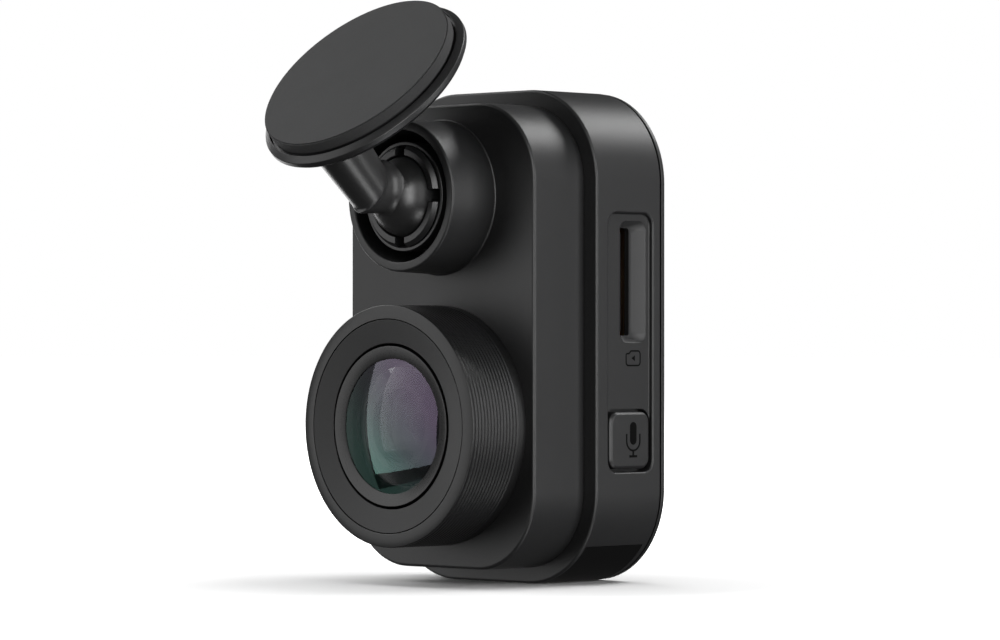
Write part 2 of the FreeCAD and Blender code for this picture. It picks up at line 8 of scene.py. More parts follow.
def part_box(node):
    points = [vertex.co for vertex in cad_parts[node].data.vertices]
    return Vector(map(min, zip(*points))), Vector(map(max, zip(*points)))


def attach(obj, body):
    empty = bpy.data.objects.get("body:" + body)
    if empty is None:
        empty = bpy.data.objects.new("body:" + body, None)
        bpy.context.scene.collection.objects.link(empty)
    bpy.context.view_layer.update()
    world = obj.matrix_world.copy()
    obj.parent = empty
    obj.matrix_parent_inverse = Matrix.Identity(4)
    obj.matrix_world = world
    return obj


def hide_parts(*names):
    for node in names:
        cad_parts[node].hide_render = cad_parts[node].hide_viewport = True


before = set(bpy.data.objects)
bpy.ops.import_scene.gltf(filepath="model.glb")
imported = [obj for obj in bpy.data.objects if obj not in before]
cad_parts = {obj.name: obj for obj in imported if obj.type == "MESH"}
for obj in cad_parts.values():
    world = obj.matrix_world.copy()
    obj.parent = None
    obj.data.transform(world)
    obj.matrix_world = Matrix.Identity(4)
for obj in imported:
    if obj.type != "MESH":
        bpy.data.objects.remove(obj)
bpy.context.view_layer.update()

# Shapes are worked out in millimetres and scaled to metres when a piece is finished.
MM = 0.001
ROUND_STEPS = 192
CORNER_STEPS = 24
ARC_STEPS = 6


def span(node):
    """The lowest and highest corners of a CAD node, in millimetres."""
    low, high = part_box(node)
    return low / MM, high / MM


housing_low, housing_high = span("main_housing")
nose_low, nose_high = span("front_cover")
cover_low, cover_high = span("back_cover")
bezel_low, bezel_high = span("lens_bezel")
ball_low, ball_high = span("ball")
button_low, button_high = span("mic_button")
liner_low, liner_high = span("release_liner")
card_low, card_high = span("memory_card")
ring_low, ring_high = span("tension_ring")
inlet_low, inlet_high = span("usb_shell")

HOUSING_WIDTH = housing_high.x - housing_low.x
HOUSING_HEIGHT = housing_high.z - housing_low.z
HOUSING_FRONT = housing_low.y
HOUSING_REAR = housing_high.y
HOUSING_CORNER = 10.0
HOUSING_WALL = 1.5
MIDDLE = (housing_high.z + housing_low.z) / 2
SIDE = housing_high.x
NOSE_WIDTH = nose_high.x - nose_low.x
NOSE_HEIGHT = nose_high.z - nose_low.z
NOSE_CORNER = 8.4
NOSE_FRONT = -12.55
NOSE_PLATE = 1.4
NOSE_WALL = 1.8
SPIGOT_INSET = 1.05
SPIGOT_REAR = HOUSING_FRONT + 2.0
COVER_FRONT = 5.15
COVER_REAR = cover_high.y
LENS_HEIGHT = (bezel_low.z + bezel_high.z) / 2
LENS_FRONT = bezel_low.y
BEZEL_RADIUS = bezel_high.x
BEZEL_BORE = 11.3
RIB_PITCH = 0.46
RIB_COUNT = 14
RIB_DEPTH = 0.1
BALL_CENTRE = (ball_low + ball_high) / 2
BALL_RADIUS = ball_high.x
COLLAR_FRONT = nose_low.y
COLLAR_BORE = 6.94
LENS_HOLE = 11.95
DISC_TILT = radians(45.2)
ARM_OFFSET = -7.15
POCKET_DEPTH = 0.55
POCKET_LOW = Vector((-3.1, 11.95))
POCKET_HIGH = Vector((3.7, 39.35))
BUTTON_TOP = 18.65
CARD_HEIGHT = (card_low.z + card_high.z) / 2
CARD_DEPTH = 0.14
SLOT_WIDTH = 1.56
SLOT_LENGTH = 11.4
FLOOR_GLOW_NEAR = 0.0
FLOOR_GLOW_FAR = 1.0


# Paths and solids

def fillet(corners, closed=True, steps=ARC_STEPS):
    """A flat path from (u, v, radius) corners, each rounded by its radius."""
    path = []
    count = len(corners)
    for index, (u, v, radius) in enumerate(corners):
        corner = Vector((u, v))
        if radius <= 0 or (not closed and index in (0, count - 1)):
            path.append(corner)
            continue
        before = (Vector(corners[index - 1][:2]) - corner).normalized()
        after = (Vector(corners[(index + 1) % count][:2]) - corner).normalized()
        half = before.angle(after) / 2
        centre = corner + (before + after).normalized() * radius / sin(half)
        start = corner + before * radius / tan(half) - centre
        end = corner + after * radius / tan(half) - centre
        turn = pi - 2 * half
        for step in range(steps + 1):
            share = step / steps
            spoke = start * sin((1 - share) * turn) + end * sin(share * turn)
            path.append(centre + spoke / sin(turn))
    return path


def rounded_outline(width, height, corner, centre=(0.0, 0.0), steps=CORNER_STEPS):
    """Points round a rectangle with rounded corners."""
    points = []
    for quarter, (across, up) in enumerate(((1, 1), (-1, 1), (-1, -1), (1, -1))):
        u = centre[0] + across * (width / 2 - corner)
        v = centre[1] + up * (height / 2 - corner)
        for step in range(steps + 1):
            angle = (quarter + step / steps) * pi / 2
            points.append(Vector((u + corner * cos(angle), v + corner * sin(angle))))
    return points


def solid_from_rings(name, rings, closed=False):
    """A solid skinned over rings of equal length; open ends are capped."""
    mesh = bmesh.new()
    rows = [[mesh.verts.new(point) for point in ring] for ring in rings]
    pairs = list(zip(rows, rows[1:]))
    if closed:
        pairs.append((rows[-1], rows[0]))
    for first, second in pairs:
        for index in range(len(first)):
            after = (index + 1) % len(first)
            corners = [first[index], first[after], second[after], second[index]]
            kept = list(dict.fromkeys(corners))
            if len(kept) > 2:
                mesh.faces.new(kept)
    if not closed:
        mesh.faces.new(rows[0][::-1])
        mesh.faces.new(rows[-1])
    return object_from(name, mesh)


def object_from(name, mesh):
    """A scene object from a working mesh, welded and with its faces turned outwards."""
    bmesh.ops.remove_doubles(mesh, verts=mesh.verts, dist=1e-5)
    bmesh.ops.recalc_face_normals(mesh, faces=mesh.faces)
    data = bpy.data.meshes.new(name)
    mesh.to_mesh(data)
    mesh.free()
    piece = bpy.data.objects.new(name, data)
    bpy.context.scene.collection.objects.link(piece)
    return piece


def lathe(name, path, height=0.0, closed=True, steps=ROUND_STEPS):
    """A solid turned about a line along Y from a path of (radius, y) points."""
    rings = []
    for radius, y in path:
        ring = []
        for step in range(steps):
            angle = 2 * pi * step / steps
            ring.append(Vector((radius * cos(angle), y, height + radius * sin(angle))))
        rings.append(ring)
    if closed:
        return solid_from_rings(name, rings, closed=True)
    return fan_ended(name, rings, path, height)


def fan_ended(name, rings, path, height):
    """A turned solid whose path starts and ends on its axis."""
    mesh = bmesh.new()
    rows = [[mesh.verts.new(point) for point in ring] for ring in rings[1:-1]]
    first = mesh.verts.new((0, path[0][1], height))
    last = mesh.verts.new((0, path[-1][1], height))
    count = len(rows[0])
    for index in range(count):
        after = (index + 1) % count
        mesh.faces.new((first, rows[0][after], rows[0][index]))
        mesh.faces.new((last, rows[-1][index], rows[-1][after]))
        for row, lower in zip(rows, rows[1:]):
            mesh.faces.new((row[index], row[after], lower[after], lower[index]))
    return object_from(name, mesh)


def slab(name, outline, y0, y1):
    """A flat outline in X and Z, given depth along Y."""
    rings = [[Vector((u, y, v)) for u, v in outline] for y in (y0, y1)]
    return solid_from_rings(name, rings)


def block(name, low, high):
    """A box between two corners."""
    outline = [(low[0], low[2]), (high[0], low[2]), (high[0], high[2]), (low[0], high[2])]
    return slab(name, outline, low[1], high[1])


def evaluated(piece):
    """Puts a piece's modifiers into its mesh."""
    graph = bpy.context.evaluated_depsgraph_get()
    data = bpy.data.meshes.new_from_object(piece.evaluated_get(graph))
    piece.modifiers.clear()
    piece.data = data
    return piece


def combined(piece, tools, operation):
    """Cuts or joins a piece with tools, which are used up."""
    for tool in tools:
        modifier = piece.modifiers.new("combined", "BOOLEAN")
        modifier.operation = operation
        modifier.solver = "EXACT"
        modifier.object = tool
        evaluated(piece)
        bpy.data.objects.remove(tool)
    return piece


def cut(piece, *tools):
    return combined(piece, tools, "DIFFERENCE")


def joined(piece, *tools):
    return combined(piece, tools, "UNION")


def moved(piece, matrix):
    piece.data.transform(matrix)
    return piece


def finish(piece, body, material, nodes=(), sharp=32, weighted=True):
    """Scales a piece to metres, shades it and hands it to the frame."""
    moved(piece, Matrix.Scale(MM, 4))
    piece.data.materials.clear()
    piece.data.materials.append(material)
    for polygon in piece.data.polygons:
        polygon.use_smooth = True
    piece.data.set_sharp_from_angle(angle=radians(sharp))
    if weighted:
        normals = piece.modifiers.new("normals", "WEIGHTED_NORMAL")
        normals.keep_sharp = True
        normals.weight = 80
    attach(piece, body)
    if nodes:
        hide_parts(*nodes)
    return piece


# Materials

class Recipe:
    """A material's node tree with short names for the nodes that repeat."""

    def __init__(self, name):
        self.material = bpy.data.materials.new(name)
        self.material.use_nodes = True
        self.tree = self.material.node_tree
        self.shader = self.tree.nodes["Principled BSDF"]
        self.place = self.node("ShaderNodeTexCoord").outputs["Object"]

    def node(self, kind, **inputs):
        made = self.tree.nodes.new(kind)
        for socket, value in inputs.items():
            made.inputs[socket.replace("_", " ")].default_value = value
        return made

    def link(self, source, target):
        self.tree.links.new(source, target)

    def noise(self, scale, detail=2.0, roughness=0.5):
        made = self.node("ShaderNodeTexNoise", Scale=scale, Detail=detail, Roughness=roughness)
        self.link(self.place, made.inputs["Vector"])
        return made.outputs["Fac"]

    def between(self, source, low, high, start=0.3, end=0.7):
        made = self.node("ShaderNodeMapRange")
        made.inputs["From Min"].default_value = start
        made.inputs["From Max"].default_value = end
        made.inputs["To Min"].default_value = low
        made.inputs["To Max"].default_value = high
        self.link(source, made.inputs["Value"])
        return made.outputs["Result"]

    def blend(self, factor, first, second):
        made = self.tree.nodes.new("ShaderNodeMix")
        made.data_type = "RGBA"
        colours = [socket for socket in made.inputs if socket.type == "RGBA"]
        self.link(factor, made.inputs["Factor"])
        for socket, colour in zip(colours, (first, second)):
            if hasattr(colour, "links"):
                self.link(colour, socket)
            else:
                socket.default_value = (*colour, 1.0)
        return [socket for socket in made.outputs if socket.type == "RGBA"][0]

    def bump(self, height, distance, strength=1.0):
        made = self.node("ShaderNodeBump", Strength=strength, Distance=distance)
        self.link(height, made.inputs["Height"])
        self.link(made.outputs["Normal"], self.shader.inputs["Normal"])
        return made

    def set(self, **values):
        for socket, value in values.items():
            self.shader.inputs[socket.replace("_", " ")].default_value = value
        return self


def moulded(name, colour, rough, grain=9000.0, depth=4e-6, mottle=0.12, **values):
    """Moulded plastic: a fine spark grain, with slight drifts in tone and gloss."""
    recipe = Recipe(name)
    recipe.set(**values)
    drift = recipe.noise(220.0, 3.0)
    dark = [channel * (1 - mottle) for channel in colour]
    light = [channel * (1 + mottle) for channel in colour]
    recipe.link(recipe.blend(drift, dark, light), recipe.shader.inputs["Base Color"])
    fine = recipe.noise(grain, 2.0, 0.6)
    gloss = recipe.between(fine, rough - 0.05, rough + 0.05)
    recipe.link(gloss, recipe.shader.inputs["Roughness"])
    recipe.bump(fine, depth)
    return recipe.material


def metal(name, colour, rough, grain=4000.0):
    """Sheet metal with a fine drawn grain along one way."""
    recipe = Recipe(name)
    recipe.set(Metallic=1.0)
    stretch = recipe.node("ShaderNodeMapping")
    stretch.inputs["Scale"].default_value = (1.0, 1.0, 0.06)
    recipe.link(recipe.place, stretch.inputs["Vector"])
    streak = recipe.node("ShaderNodeTexNoise", Scale=grain, Detail=3.0)
    recipe.link(stretch.outputs["Vector"], streak.inputs["Vector"])
    dark = [channel * 0.82 for channel in colour]
    tone = recipe.blend(streak.outputs["Fac"], dark, colour)
    recipe.link(tone, recipe.shader.inputs["Base Color"])
    gloss = recipe.between(streak.outputs["Fac"], rough - 0.06, rough + 0.08)
    recipe.link(gloss, recipe.shader.inputs["Roughness"])
    recipe.bump(streak.outputs["Fac"], 1.5e-6)
    return recipe.material


def clear_glass(name, index):
    """The recipe that the lens glasses start from."""
    recipe = Recipe(name)
    recipe.set(Transmission_Weight=1.0, IOR=index, Roughness=0.0)
    recipe.shader.inputs["Base Color"].default_value = (0.85, 0.87, 0.88, 1.0)
    return recipe


def inner_coating(name, centre_tint, ring_tint, edge_tint, index):
    """Lens glass whose coating reflects most near the axis, less in a ring round that."""
    recipe = clear_glass(name, index)
    from_axis = recipe.node("ShaderNodeMapping")
    from_axis.inputs["Location"].default_value = (0, 0, -LENS_HEIGHT * MM)
    from_axis.inputs["Scale"].default_value = (1, 0, 1)
    recipe.link(recipe.place, from_axis.inputs["Vector"])
    reach = recipe.node("ShaderNodeVectorMath")
    reach.operation = "LENGTH"
    recipe.link(from_axis.outputs["Vector"], reach.inputs[0])
    outside = recipe.between(reach.outputs["Value"], 0.0, 1.0, 0.0025, 0.0027)
    beyond = recipe.between(reach.outputs["Value"], 0.0, 1.0, 0.0037, 0.0039)
    tint = recipe.blend(outside, centre_tint, recipe.blend(beyond, ring_tint, edge_tint))
    recipe.link(tint, recipe.shader.inputs["Specular Tint"])
    return recipe.material


def coated_glass(name, tints, index):
    """Lens glass whose coating shades from the lower -X side to the upper +X side.

    The inner side of its surface reflects almost nothing.
    """
    recipe = clear_glass(name, index)
    parts = recipe.node("ShaderNodeSeparateXYZ")
    recipe.link(recipe.place, parts.inputs["Vector"])
    across = recipe.node("ShaderNodeMath")
    across.operation = "ADD"
    recipe.link(parts.outputs["X"], across.inputs[0])
    recipe.link(parts.outputs["Z"], across.inputs[1])
    middle = LENS_HEIGHT * MM
    share = recipe.between(across.outputs[0], 0.0, 1.0, middle - 0.007, middle + 0.007)
    ramp = recipe.node("ShaderNodeValToRGB")
    recipe.link(share, ramp.inputs["Fac"])
    elements = ramp.color_ramp.elements
    elements.new(0.5)
    for element, tint in zip(elements, tints):
        element.color = (*tint, 1.0)
    inside = recipe.node("ShaderNodeNewGeometry").outputs["Backfacing"]
    tint = recipe.blend(inside, ramp.outputs["Color"], (0.02, 0.02, 0.02))
    recipe.link(tint, recipe.shader.inputs["Specular Tint"])
    return recipe.material


case_plastic = moulded("case_plastic", (0.021, 0.0212, 0.022), 0.44, depth=6e-6,
                        Specular_IOR_Level=0.45)
bezel_plastic = moulded("bezel_plastic", (0.015, 0.015, 0.0155), 0.36, Specular_IOR_Level=0.42)
hood_plastic = moulded("hood_plastic", (0.012, 0.012, 0.0125), 0.38, Specular_IOR_Level=0.35)
ring_plastic = moulded("ring_plastic", (0.009, 0.009, 0.0093), 0.3, grain=14000.0, depth=1e-6)
collet_plastic = moulded("collet_plastic", (0.02, 0.02, 0.021), 0.4, grain=6000.0, depth=3e-6)
arm_gloss = moulded("arm_gloss", (0.036, 0.036, 0.0365), 0.33, grain=5000.0, depth=3e-7)
disc_plastic = moulded("disc_plastic", (0.022, 0.022, 0.023), 0.4, Specular_IOR_Level=0.45)
liner_film = moulded("liner_film", (0.042, 0.0425, 0.0435), 0.7, grain=12000.0, depth=2e-6)
foam_rubber = moulded("foam_rubber", (0.028, 0.028, 0.029), 0.8, grain=5200.0, depth=1.2e-5)
label_film = moulded("label_film", (0.003, 0.003, 0.0031), 0.45, grain=16000.0, depth=1e-6,
                      Specular_IOR_Level=0.2)
card_plastic = moulded("card_plastic", (0.02, 0.02, 0.021), 0.5)
icon_ink = moulded("icon_ink", (0.002, 0.002, 0.002), 0.85, Specular_IOR_Level=0.08)
chip_plastic = moulded("chip_plastic", (0.02, 0.02, 0.02), 0.6)
board_mask = moulded("board_mask", (0.01, 0.07, 0.035), 0.35, grain=2500.0, depth=4e-6)
ivory = moulded("ivory", (0.6, 0.55, 0.44), 0.45)
amber_film = moulded("amber_film", (0.45, 0.2, 0.04), 0.3, grain=3000.0, depth=1e-6)
white_plastic = moulded("white_plastic", (0.7, 0.7, 0.67), 0.4)
pad_rubber = moulded("pad_rubber", (0.35, 0.4, 0.46), 0.75, grain=3000.0)
steel = metal("steel", (0.55, 0.55, 0.56), 0.3)
copper = metal("copper", (0.7, 0.4, 0.25), 0.34)
foil = metal("foil", (0.62, 0.63, 0.65), 0.32, grain=1800.0)
front_glass = coated_glass("front_glass",
                           ((0.22, 0.8, 0.64), (0.33, 0.42, 0.47), (0.58, 0.44, 0.68)), 1.8)
inner_glass = inner_coating("inner_glass", (0.9, 0.95, 1.0), (0.1, 0.1, 0.1), (0.3, 0.3, 0.3), 1.15)
spacer_plastic = moulded("spacer_plastic", (0.004, 0.0045, 0.005), 0.5, Specular_IOR_Level=0.2)


# The nose with its collar

def nose_ring(inset, y):
    """The nose's outline at one depth, drawn in by an inset."""
    outline = rounded_outline(NOSE_WIDTH - 2 * inset, NOSE_HEIGHT - 2 * inset,
                              NOSE_CORNER - inset, (0, MIDDLE))
    return [Vector((u, y, v)) for u, v in outline]


def housing_ring(inset, y):
    """The housing's outline at one depth, drawn in by an inset."""
    outline = rounded_outline(HOUSING_WIDTH - 2 * inset, HOUSING_HEIGHT - 2 * inset,
                              HOUSING_CORNER - inset, (0, MIDDLE))
    return [Vector((u, y, v)) for u, v in outline]


def nose():
    inner = NOSE_FRONT + NOSE_PLATE
    path = fillet([(3.0, NOSE_FRONT, 0), (0, NOSE_FRONT, 0.36), (0, HOUSING_FRONT, 0.08),
                   (SPIGOT_INSET, HOUSING_FRONT, 0), (SPIGOT_INSET, SPIGOT_REAR, 0.1),
                   (NOSE_WALL, SPIGOT_REAR, 0), (NOSE_WALL, inner, 0)], closed=False)
    shell = solid_from_rings("nose", [nose_ring(inset, y) for inset, y in path])
    base = COLLAR_BORE + 1.25
    collar_path = fillet([(COLLAR_BORE, COLLAR_FRONT, 0.2), (7.95, COLLAR_FRONT, 0.28),
                          (base, NOSE_FRONT + 0.01, 0.22), (base + 0.8, NOSE_FRONT + 0.03, 0),
                          (base + 0.8, NOSE_FRONT + 0.5, 0), (COLLAR_BORE, NOSE_FRONT + 0.5, 0)])
    collar = lathe("collar", collar_path, BALL_CENTRE.z)
    plug = lathe("plug", [(0, NOSE_FRONT - 1), (COLLAR_BORE, NOSE_FRONT - 1),
                          (COLLAR_BORE, NOSE_FRONT + 3), (0, NOSE_FRONT + 3)],
                 BALL_CENTRE.z, closed=False)
    lens_plug = lathe("lens_plug", [(0, NOSE_FRONT - 1), (LENS_HOLE, NOSE_FRONT - 1),
                                    (LENS_HOLE, NOSE_FRONT + 3), (0, NOSE_FRONT + 3)],
                      LENS_HEIGHT, closed=False)
    cut(joined(shell, collar), plug, lens_plug)
    return finish(shell, "camera_body", case_plastic, ["front_cover"])


# The rear housing with its side pocket

def side_ring(outline, x):
    """A (y, z) outline set at one distance to the side."""
    return [Vector((x, u, v)) for u, v in outline]


def side_cutter(name, low, high, corner, path):
    """A tool that cuts along -X; its path gives (growth of the outline, x) points."""
    centre = ((low[0] + high[0]) / 2, (low[1] + high[1]) / 2)
    rings = []
    for growth, x in path:
        outline = rounded_outline(high[0] - low[0] + 2 * growth, high[1] - low[1] + 2 * growth,
                                  corner + growth, centre, 12)
        rings.append(side_ring(outline, x))
    return solid_from_rings(name, rings)


def lipped(top, bottom, lip, floor):
    """A cutter's path from outside a face down to a floor, with a rounded lip and foot."""
    return fillet([(lip + 0.6, top + 0.02, 0), (0, top - 0.001, lip), (0, bottom, floor),
                   (-0.6, bottom, 0)], closed=False)


def main_housing():
    path = fillet([(2.7, HOUSING_FRONT, 0), (0, HOUSING_FRONT, 0.3), (0, HOUSING_REAR, 0.15),
                   (HOUSING_WALL, HOUSING_REAR, 0.1), (HOUSING_WALL, HOUSING_FRONT + 1.2, 0),
                   (2.7, HOUSING_FRONT + 1.2, 0)])
    shell = solid_from_rings("main_housing", [housing_ring(inset, y) for inset, y in path], True)
    floor = SIDE - POCKET_DEPTH
    pocket = side_cutter("pocket", POCKET_LOW, POCKET_HIGH, 1.3, lipped(SIDE, floor, 0.26, 0.16))
    well_path = [(0.0, SIDE + 0.5), (0.0, SIDE - 3)]
    well = side_cutter("well", POCKET_LOW, Vector((POCKET_HIGH.x, BUTTON_TOP)), 1.3, well_path)
    slot_low = Vector((CARD_DEPTH - SLOT_WIDTH / 2, CARD_HEIGHT - SLOT_LENGTH / 2))
    slot_high = Vector((CARD_DEPTH + SLOT_WIDTH / 2, CARD_HEIGHT + SLOT_LENGTH / 2))
    slot = side_cutter("slot", slot_low, slot_high, 0.3, [(0.0, SIDE + 0.5), (0.0, SIDE - 3)])
    recess = label_band("recess", 0.03, -0.3, 0.27, 0)
    return finish(cut(shell, pocket, well, scoop(floor), slot, inlet_cutter(), recess),
                  "camera_body", case_plastic, ["main_housing"])


def scoop(floor):
    """The finger scoop beside the card slot, deepest at the slot."""
    low = CARD_HEIGHT - 6.35
    high = CARD_HEIGHT + 6.35
    top = rounded_outline(3.85, high - low, 0.9, (1.175, CARD_HEIGHT), 12)
    deep = rounded_outline(1.9, high - low - 1.3, 0.45, (0.3, CARD_HEIGHT), 12)
    lip = rounded_outline(4.1, high - low + 0.25, 1.0, (1.175, CARD_HEIGHT), 12)
    rings = [side_ring(lip, floor + 0.3), side_ring(lip, floor + 0.005), side_ring(top, floor - 0.08),
             side_ring(deep, floor - 0.36)]
    return solid_from_rings("scoop", rings)


def inlet_cutter():
    """The opening for the power plug, cut through the -X wall."""
    middle = (inlet_low + inlet_high) / 2
    outline = rounded_outline(3.86, 9.64, 1.9, (middle.y, middle.z), 12)
    wide = rounded_outline(4.4, 10.2, 2.15, (middle.y, middle.z), 12)
    rings = [side_ring(wide, -SIDE - 0.3), side_ring(wide, -SIDE - 0.001),
             side_ring(outline, -SIDE + 0.25), side_ring(outline, -SIDE + 3)]
    return solid_from_rings("inlet_cutter", rings)


def back_cover():
    path = fillet([(4.0, COVER_REAR, 0), (0.04, COVER_REAR, 0.15), (0.04, COVER_FRONT, 0.06),
                   (1.6, COVER_FRONT, 0), (1.6, cover_low.y, 0.1), (2.7, cover_low.y, 0),
                   (2.7, COVER_REAR - 0.75, 0)], closed=False)
    plate = solid_from_rings("back_cover", [housing_ring(inset, y) for inset, y in path])
    return finish(plate, "camera_body", case_plastic, ["back_cover"])


def label_band(name, margin, outer, inner, rounding):
    """A thin band round the housing's underside and both its lower corners."""
    front = HOUSING_FRONT + 0.45 - margin
    rear = HOUSING_REAR - 0.75 + margin
    path = fillet([(outer, front, rounding), (outer, rear, rounding), (inner, rear, 0),
                   (inner, front, 0)])
    band = solid_from_rings(name, [housing_ring(inset, y) for inset, y in path], True)
    return cut(band, block("keep", (-20, -20, 4.1 + margin), (20, 20, 80)))


def bottom_label():
    """The dark panel let into the underside, wrapped up both corners."""
    label = label_band("bottom_label", 0.0, 0.0, 0.25, 0.06)
    return finish(label, "camera_body", label_film, ["bottom_label"])


# The lens

def lens_bezel():
    """The ring round the lens, with rounded ribs round its side."""
    corners = [(BEZEL_BORE, LENS_FRONT, 0.06), (BEZEL_RADIUS, LENS_FRONT + 0.16, 0.1)]
    first = LENS_FRONT + 0.5
    groove = BEZEL_RADIUS - RIB_DEPTH
    for rib in range(RIB_COUNT):
        start = first + rib * RIB_PITCH
        corners += [(BEZEL_RADIUS, start, 0.04), (groove, start + 0.12, 0.04),
                    (groove, start + 0.2, 0.04), (BEZEL_RADIUS, start + 0.32, 0.04)]
    corners += [(BEZEL_RADIUS, NOSE_FRONT - 0.02, 0), (11.9, NOSE_FRONT - 0.02, 0),
                (11.9, NOSE_FRONT + NOSE_PLATE, 0), (BEZEL_BORE, NOSE_FRONT + NOSE_PLATE, 0)]
    ring = lathe("lens_bezel", fillet(corners, steps=3), LENS_HEIGHT, steps=256)
    return finish(ring, "camera_body", bezel_plastic, ["lens_bezel"])


def lens_hood():
    outer = BEZEL_BORE - 0.07
    rear = NOSE_FRONT + NOSE_PLATE
    corners = [(outer, LENS_FRONT + 0.03, 0.05), (outer, rear, 0), (10.7, rear, 0),
               (10.7, LENS_FRONT + 2.2, 0), (8.72, LENS_FRONT + 1.6, 0),
               (8.72, LENS_FRONT + 0.55, 0.07)]
    ring = lathe("lens_hood", fillet(corners), LENS_HEIGHT)
    return finish(ring, "camera_body", hood_plastic, ["lens_hood"])


def lens_retainer():
    front = LENS_FRONT + 0.45
    corners = [(7.12, front + 0.31, 0.02), (8.45, front, 0.06), (8.45, front + 0.85, 0),
               (7.6, front + 0.85, 0), (7.6, front + 0.49, 0), (7.12, front + 0.36, 0)]
    ring = lathe("lens_retainer", fillet(corners), LENS_HEIGHT)
    return finish(ring, "camera_body", ring_plastic, ["lens_retainer"])


def front_spacer():
    """The dark stepped cone round the second lens."""
    corners = [(3.9, -17.95, 0.03), (4.6, -17.95, 0.05), (6.12, -17.35, 0.05), (6.12, -16.3, 0),
               (3.92, -17.36, 0)]
    ring = lathe("front_spacer", fillet(corners, steps=4), LENS_HEIGHT, steps=128)
    return finish(ring, "camera_body", spacer_plastic, ["front_spacer"])


def sphere_path(radius, apex, sag, steps):
    """Points of a lens face from its axis to its rim; sag is how far the rim lies behind."""
    curvature = (radius ** 2 + sag ** 2) / (2 * abs(sag))
    sign = 1 if sag > 0 else -1
    reach = acos((curvature - abs(sag)) / curvature)
    path = []
    for step in range(steps + 1):
        angle = reach * step / steps
        path.append((curvature * sin(angle), apex + sign * curvature * (1 - cos(angle))))
    return path


def lens_element(name, radius, front, front_sag, back, back_sag, material):
    """A lens between two ball-shaped faces that meet at its rim."""
    path = sphere_path(radius, front, front_sag, 48)
    path += sphere_path(radius, back, back_sag, 48)[::-1]
    element = lathe(name, path, LENS_HEIGHT, closed=False)
    return finish(element, "camera_body", material, [name], weighted=False)


# The ball joint

def socket_collet():
    flange = NOSE_FRONT + NOSE_PLATE
    mouth = COLLAR_FRONT
    corners = [(0.6, -12.2, 0), (3.0, -12.2, 0), (4.45, -15.2, 0), (4.45, -17.6, 0),
               (4.3, mouth, 0.12), (5.0, mouth, 0.06), (5.4, mouth + 0.42, 0.05),
               (5.4, mouth + 0.56, 0), (5.2, mouth + 0.56, 0), (5.2, -16.4, 0), (5.6, -16.4, 0.1),
               (5.6, flange, 0), (7.9, flange, 0), (7.9, flange + 1.0, 0), (0.6, flange + 1.0, 0)]
    collet = lathe("socket_collet", fillet(corners), BALL_CENTRE.z)
    centre = BALL_CENTRE.z
    half = 0.7
    flat_slot = block("flat_slot", (-6.5, mouth - 1, centre - half), (6.5, -14.6, centre + half))
    tall_slot = block("tall_slot", (-half, mouth - 1, centre - 6.5), (half, -14.6, centre + 6.5))
    cut(collet, flat_slot, tall_slot)
    return finish(collet, "camera_body", collet_plastic, ["socket_collet"])


def tension_ring():
    corners = [(5.45, ring_low.y, 0.05), (5.8, ring_low.y, 0.1), (5.8, ring_high.y, 0.05),
               (5.25, ring_high.y, 0), (5.25, ring_low.y + 0.3, 0)]
    ring = lathe("tension_ring", fillet(corners), BALL_CENTRE.z)
    return finish(ring, "roll_ring", collet_plastic, ["tension_ring"])


def ball():
    path = []
    for step in range(65):
        angle = pi * step / 64
        path.append((BALL_RADIUS * sin(angle), BALL_CENTRE.y - BALL_RADIUS * cos(angle)))
    sphere = lathe("ball", path, BALL_CENTRE.z, closed=False, steps=128)
    return finish(sphere, "ball_body", arm_gloss, ["ball"])


def disc_place():
    """Takes a shape turned about Y (face towards -Y) to the tilted disc."""
    face = (liner_low + liner_high) / 2
    normal = Vector((0, -sin(DISC_TILT), cos(DISC_TILT)))
    face = Vector((0, face.y, face.z)) + normal * 0.06
    return Matrix.Translation(face) @ Matrix.Rotation(DISC_TILT - pi / 2, 4, "X")


def disc_piece(name, corners):
    """A turned piece of the stick-on disc, from (radius, depth behind the face, fillet) corners."""
    path = fillet([(0, corners[0][1], 0)] + corners + [(0, corners[-1][1], 0)], False)
    piece = lathe(name, path, 0, closed=False)
    moved(piece, disc_place())
    return piece


def mount_disc():
    corners = [(11.0, 1.25, 0), (11.0, 1.7, 0), (11.38, 1.7, 0), (11.38, 1.28, 0.06),
               (12.1, 1.8, 0.15), (12.1, 2.35, 0.15), (11.7, 2.75, 0.3), (9.0, 3.3, 0.6)]
    piece = disc_piece("mount_disc", corners)
    return finish(piece, "mount_head", disc_plastic, ["mount_disc"])


def adhesive_pad():
    corners = [(11.15, 0.12, 0.03), (11.15, 1.25, 0.05)]
    piece = disc_piece("adhesive_pad", corners)
    finish(piece, "mount_head", foam_rubber, ["adhesive_pad"])
    return piece


def release_liner():
    corners = [(11.0, 0.0, 0.03), (11.0, 0.12, 0.03)]
    piece = disc_piece("release_liner", corners)
    return finish(piece, "mount_head", liner_film, ["release_liner"])


